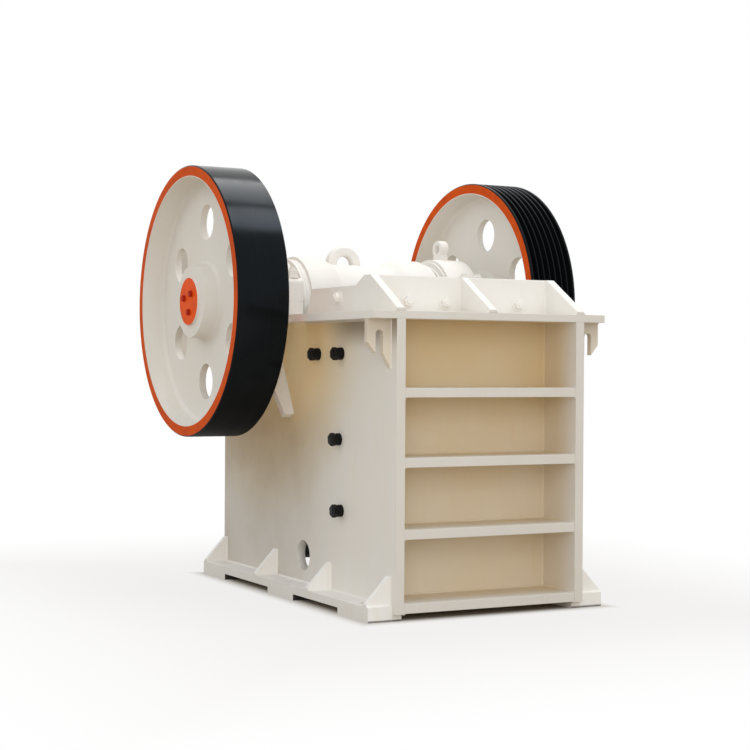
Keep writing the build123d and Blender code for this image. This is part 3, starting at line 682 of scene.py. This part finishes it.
def side_seams(side):
    """Corners of one side plate with the feed flange, its hook and the bearing's gussets."""
    out = X * side
    x = OUTER_X * side
    low, high, back = FLANGE_LOW.z, FLANGE_HIGH.z, FLANGE_HIGH.y
    yield (x, HOOK_HIGH.y, low), (x, back, low), out, -Z
    yield (x, WALL_HIGH.y, high), (x, back, high), out, Z
    for y, way in ((HOOK_LOW.y, -Y), (HOOK_HIGH.y, Y)):
        yield (x, y, HOOK_LOW.z), (x, y, low), out, way
        yield (x, y, low), (HOOK_HIGH.x * side, y, low), way, -Z
    for turn in (-RADIAL_TURN, RADIAL_TURN):
        ray = Vector((0, sin(turn), -cos(turn)))
        across = Vector((0, cos(turn), sin(turn)))
        for face in SIDES:
            root = Vector((x, SHAFT.y, SHAFT.z)) + across * face * RADIAL_T / 2
            yield root + ray * RADIAL_NEAR, root + ray * RADIAL_FAR, out, across * face


def feed_seams():
    """Corners of the feed plate and its gussets on the flange."""
    y, z = WALL_LOW.y, FLANGE_HIGH.z
    for (_, x0), (x1, _) in zip(FEED_GUSSETS, FEED_GUSSETS[1:]):
        yield (x0, y, z), (x1, y, z), -Y, Z
    for x0, x1 in FEED_GUSSETS:
        for x, way in ((x0, -X), (x1, X)):
            yield (x, FRONT_Y, z), (x, y, z), way, Z
            if abs(x) < OUTER_X - HAIR:
                yield (x, y, z), (x, y, WALL_HIGH.z), way, -Y


def all_seams():
    """Every corner that is welded: start, end and the ways along its two faces."""
    thick = FRONT_RIBS[0][1].z - FRONT_RIBS[0][0].z
    for low, high in FRONT_RIBS:
        yield from rib_seams(low, high, WALL_LOW.y, FRONT_Y)
    yield from wall_seams(FRONT_RIBS, FLANGE_LOW.z, WALL_LOW.y, -Y)
    pitch = (REAR_HIGH.z - REAR_LOW.z - thick) / (REAR_RIBS - 1)
    rear = []
    for step in range(REAR_RIBS):
        low = Vector((REAR_LOW.x, REAR_HIGH.y, REAR_LOW.z + step * pitch))
        rear.append((low, Vector((REAR_HIGH.x, BACK_Y, low.z + thick))))
    for low, high in rear:
        yield from rib_seams(low, high, REAR_HIGH.y, BACK_Y)
    yield from wall_seams(rear, REAR_HIGH.z, REAR_HIGH.y, Y)
    yield from feed_seams()
    for side in SIDES:
        yield from base_seams(side)
        yield from side_seams(side)


class PaintFrame(bpy.types.Operator):
    """Paints the welded frame and rounds its edges"""

    bl_idname = "crusher.paint_frame"
    bl_label = "Frame"

    def execute(self, context):
        dress(frame_finish(), *FRAME_NODES, *BASE_NODES)
        dress(pad_finish(), "foot_pads")
        soften(*FRAME_NODES)
        return {"FINISHED"}


class PaintCastings(bpy.types.Operator):
    """Paints the bearing housings and the pitman"""

    bl_idname = "crusher.paint_castings"
    bl_label = "Castings"

    def execute(self, context):
        dress(casting_finish(), *PAINTED_CASTINGS)
        soften(*PAINTED_CASTINGS)
        return {"FINISHED"}


class PaintWheels(bpy.types.Operator):
    """Paints the flywheel, the pulley and the end caps"""

    bl_idname = "crusher.paint_wheels"
    bl_label = "Wheels"

    def execute(self, context):
        dress(wheel_finish(), "flywheel", "pulley")
        dress(cap_finish(), "end_caps")
        return {"FINISHED"}


class FinishSteel(bpy.types.Operator):
    """Gives the jaws, the shaft, the toggle and the rod their bare metal"""

    bl_idname = "crusher.finish_steel"
    bl_label = "Bare metal"

    def execute(self, context):
        dress(manganese_finish(), "fixed_jaw_plate", "moving_jaw_plate", "cheek_liners")
        dress(steel_finish(), "eccentric_shaft", "rod_pin", "tension_rod", "rod_nut", "spring_discs")
        dress(rough_casting_finish(), *BARE_CASTINGS)
        dress(black_finish("spring_black"), "tension_spring")
        return {"FINISHED"}


class AddLinerBolts(bpy.types.Operator):
    """Adds the liner bolts' nuts and their flush heads inside"""

    bl_idname = "crusher.add_liner_bolts"
    bl_label = "Liner bolts"

    def execute(self, context):
        nuts, heads = bmesh.new(), bmesh.new()
        width, height = sizes().liner_nut, sizes().liner_stand
        liner_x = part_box("fixed_jaw_plate")[1].x - LINER_T
        for side in SIDES:
            for y, z in LINER_BOLTS:
                stand = facing((OUTER_X * side, FRONT_Y + y, z), X * side, LINER_TURN)
                double_nut(nuts, stand, width, height)
                inner = facing((liner_x * side, FRONT_Y + y, z), X * -side)
                prism(heads, inner, width / 2, *FLUSH_HEAD, 28, 2 * HAIR)
        piece("liner_nuts", nuts, black_finish("nut_black"), "frame")
        piece("liner_bolt_heads", heads, steel_finish(), "frame")
        return {"FINISHED"}


class AddFeedBolts(bpy.types.Operator):
    """Adds the nuts on the feed plate and on the raised side plates"""

    bl_idname = "crusher.add_feed_bolts"
    bl_label = "Feed plate bolts"

    def execute(self, context):
        nuts = bmesh.new()
        width = sizes().feed_nut
        for side in SIDES:
            stands = [facing((x * side, WALL_LOW.y, FEED_BOLT_Z), -Y, FEED_TURN) for x in FEED_BOLT_XS]
            stands.append(facing((OUTER_X * side, FRONT_Y + CHEEK_BOLT[0], CHEEK_BOLT[1]), X * side))
            for stand in stands:
                nut_on_washer(nuts, stand, width, width * 0.65, width * 0.42)
        piece("feed_nuts", nuts, casting_finish(), "frame")
        return {"FINISHED"}


class AddBearingBolts(bpy.types.Operator):
    """Adds the nuts on the bearing ears and the screws of the covers"""

    bl_idname = "crusher.add_bearing_bolts"
    bl_label = "Bearing bolts"

    def execute(self, context):
        nuts, screws = bmesh.new(), bmesh.new()
        width = sizes().ear_nut
        inner_x, outer_x = CAP_LOW.x + EAR_BOLT_IN, CAP_HIGH.x - EAR_BOLT_IN
        for side in SIDES:
            for y in (SHAFT.y - EAR_BOLT_Y, SHAFT.y + EAR_BOLT_Y):
                for x in (inner_x, outer_x):
                    stand = facing((x * side, y, SHAFT.z + EAR_UP), Z, EAR_TURN)
                    nut_on_washer(nuts, stand, width, width * 0.6, width * 0.62)
                hex_head(nuts, facing((outer_x * side, y, FLANGE_HIGH.z), -Z, EAR_TURN), width, width * 0.5)
            for step in range(COVER_SCREWS):
                turn = 2 * pi * (step + 0.5) / COVER_SCREWS
                ray = Vector((0, cos(turn), sin(turn))) * COVER_SCREW_R
                place = SHAFT + ray + X * side * (COVER_X - COVER_STEP)
                hex_head(screws, facing(place, X * side), sizes().screw, COVER_SCREW_H)
        piece("ear_nuts", nuts, casting_finish(), "frame")
        piece("cover_screws", screws, casting_finish(), "frame")
        return {"FINISHED"}


class AddCapBolts(bpy.types.Operator):
    """Adds three bolts to each end cap"""

    bl_idname = "crusher.add_cap_bolts"
    bl_label = "End cap bolts"

    def execute(self, context):
        bolts = bmesh.new()
        for side in SIDES:
            for step in range(CAP_BOLTS):
                turn = radians(CAP_BOLT_TURN + 360 / CAP_BOLTS * step)
                place = SHAFT + X * side * END_CAP_X + Vector((0, cos(turn), sin(turn))) * CAP_BOLT_R
                hex_head(bolts, facing(place, X * side, turn), sizes().cap_bolt, CAP_BOLT_H)
        piece("end_cap_bolts", bolts, cap_bolt_finish(), "rotor")
        return {"FINISHED"}


class AddWedgeBolts(bpy.types.Operator):
    """Adds the bolts that pull the jaw wedge tight"""

    bl_idname = "crusher.add_wedge_bolts"
    bl_label = "Wedge bolts"

    def execute(self, context):
        bolts = bmesh.new()
        low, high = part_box("jaw_wedge")
        y, z = (low.y + high.y) / 2 + WEDGE_BOLT_BACK, high.z - WEDGE_BOLT_SUNK
        for x in WEDGE_BOLT_XS:
            nut_on_stud(bolts, facing((x, y, z), WEDGE_UP), *WEDGE_NUT)
        piece("wedge_bolts", bolts, black_finish("wedge_black"), "pitman")
        return {"FINISHED"}


class AddWelds(bpy.types.Operator):
    """Runs fillet welds along the corners of the frame"""

    bl_idname = "crusher.add_welds"
    bl_label = "Welds"

    def execute(self, context):
        mesh = bmesh.new()
        for seam in all_seams():
            bead(mesh, *seam)
        piece("weld_beads", mesh, frame_finish(), "frame")
        return {"FINISHED"}


def white_sky():
    """Even pale light that shows as white behind the object."""
    world = bpy.data.worlds.new("studio")
    bpy.context.scene.world = world
    world.use_nodes = True
    look = Look(world.node_tree)
    seen = seen_rays(look)
    lit = look.node("ShaderNodeBackground", None, {"Color": (*studio().tint, 1), "Strength": studio().sky})
    white = look.node("ShaderNodeBackground", None, {"Color": WHITE, "Strength": 1.0})
    mixed = look.node("ShaderNodeMixShader", None, {0: seen, 1: lit, 2: white})
    look.node("ShaderNodeOutputWorld", None, {"Surface": mixed})


def seen_rays(look):
    """One for rays that the camera, gloss or glass sends, and nought for light."""
    kinds = ("Is Camera Ray", "Is Glossy Ray", "Is Transmission Ray")
    camera, gloss, glass = (look.node("ShaderNodeLightPath", out=kind) for kind in kinds)
    return camera + gloss + glass


def pale_floor():
    """Floor that shows as white but keeps the shadow near the object."""
    mesh = bmesh.new()
    bmesh.ops.create_circle(mesh, cap_ends=True, segments=96, radius=FLOOR_R)
    data = bpy.data.meshes.new("floor")
    mesh.to_mesh(data)
    mesh.free()
    floor = bpy.data.objects.new("floor", data)
    bpy.context.scene.collection.objects.link(floor)
    coat = Coat("floor_pale")
    beyond = {0: abs(coat.axis("X")) - BASE_HIGH.x, 1: abs(coat.axis("Y")) - BACK_Y}
    reach = coat.node("ShaderNodeMath", {"operation": "MAXIMUM"}, beyond)
    share = seen_rays(coat) * (coat.rise(reach, -0.06, 0.10) * 0.80 + coat.rise(reach, 0.2, 2.4) * 0.20)
    pale = coat.node("ShaderNodeBsdfDiffuse", None, {"Color": FLOOR_COLOUR})
    white = coat.node("ShaderNodeEmission", None, {"Color": WHITE, "Strength": 1.0})
    mixed = coat.node("ShaderNodeMixShader", None, {0: share, 1: pale, 2: white})
    data.materials.append(coat.close(mixed))


def lamp(name, place, target, width, power):
    """Square soft lamp that points at a target."""
    data = bpy.data.lights.new(name, "AREA")
    data.size = width
    data.energy = power
    made = bpy.data.objects.new(name, data)
    way = Vector(target) - Vector(place)
    made.matrix_world = Matrix.Translation(place) @ way.to_track_quat("-Z", "Y").to_matrix().to_4x4()
    bpy.context.scene.collection.objects.link(made)


def photo_camera():
    """Camera at the photograph's place, turned by yaw, pitch and roll."""
    ahead = Vector((sin(YAW) * cos(PITCH), cos(YAW) * cos(PITCH), sin(PITCH)))
    right = Vector((cos(YAW), -sin(YAW), 0))
    up = right.cross(ahead)
    rolled = (right * cos(ROLL) + up * sin(ROLL), up * cos(ROLL) - right * sin(ROLL), -ahead)
    data = bpy.data.cameras.new("camera")
    data.lens = LENS
    data.sensor_width = SENSOR
    made = bpy.data.objects.new("camera", data)
    made.matrix_world = Matrix.Translation(CAMERA) @ Matrix(rolled).transposed().to_4x4()
    bpy.context.scene.collection.objects.link(made)
    bpy.context.scene.camera = made


class BuildStage(bpy.types.Operator):
    """Makes the floor, the light and the camera"""

    bl_idname = "crusher.build_stage"
    bl_label = "Stage"

    def execute(self, context):
        white_sky()
        pale_floor()
        for name, (place, target, width) in LAMPS.items():
            lamp(name, place, target, width, getattr(studio(), name))
        photo_camera()
        context.scene.view_settings.view_transform = "Standard"
        return {"FINISHED"}


class CrusherPanel(bpy.types.Panel):
    """Lists the steps and their settings."""

    bl_idname = "VIEW3D_PT_crusher"
    bl_label = "Jaw crusher"
    bl_space_type = "VIEW_3D"
    bl_region_type = "UI"
    bl_category = "Crusher"

    def draw(self, context):
        for settings in (paint(), sizes(), studio()):
            box = self.layout.box()
            for key in settings.__annotations__:
                box.prop(settings, key)
        for step in STEPS:
            self.layout.operator(step.bl_idname)


STEPS = (PaintFrame, PaintCastings, PaintWheels, FinishSteel, AddLinerBolts, AddFeedBolts, AddBearingBolts,
         AddCapBolts, AddWedgeBolts, AddWelds, BuildStage)
GROUPS = {"crusher_paint": CrusherPaint, "crusher_sizes": CrusherSizes, "crusher_studio": CrusherStudio}


def register():
    """Registers the classes and puts the settings on the scene."""
    for kind in (*GROUPS.values(), *STEPS, CrusherPanel):
        bpy.utils.register_class(kind)
    for name, kind in GROUPS.items():
        setattr(bpy.types.Scene, name, PointerProperty(type=kind))


def unregister():
    """Takes the settings and the classes away again."""
    for name in GROUPS:
        delattr(bpy.types.Scene, name)
    for kind in (CrusherPanel, *reversed(STEPS), *GROUPS.values()):
        bpy.utils.unregister_class(kind)


def main():
    """Runs every step in order."""
    register()
    for step in STEPS:
        group, name = step.bl_idname.split(".")
        getattr(getattr(bpy.ops, group), name)()


if __name__ == "__main__":
    main()
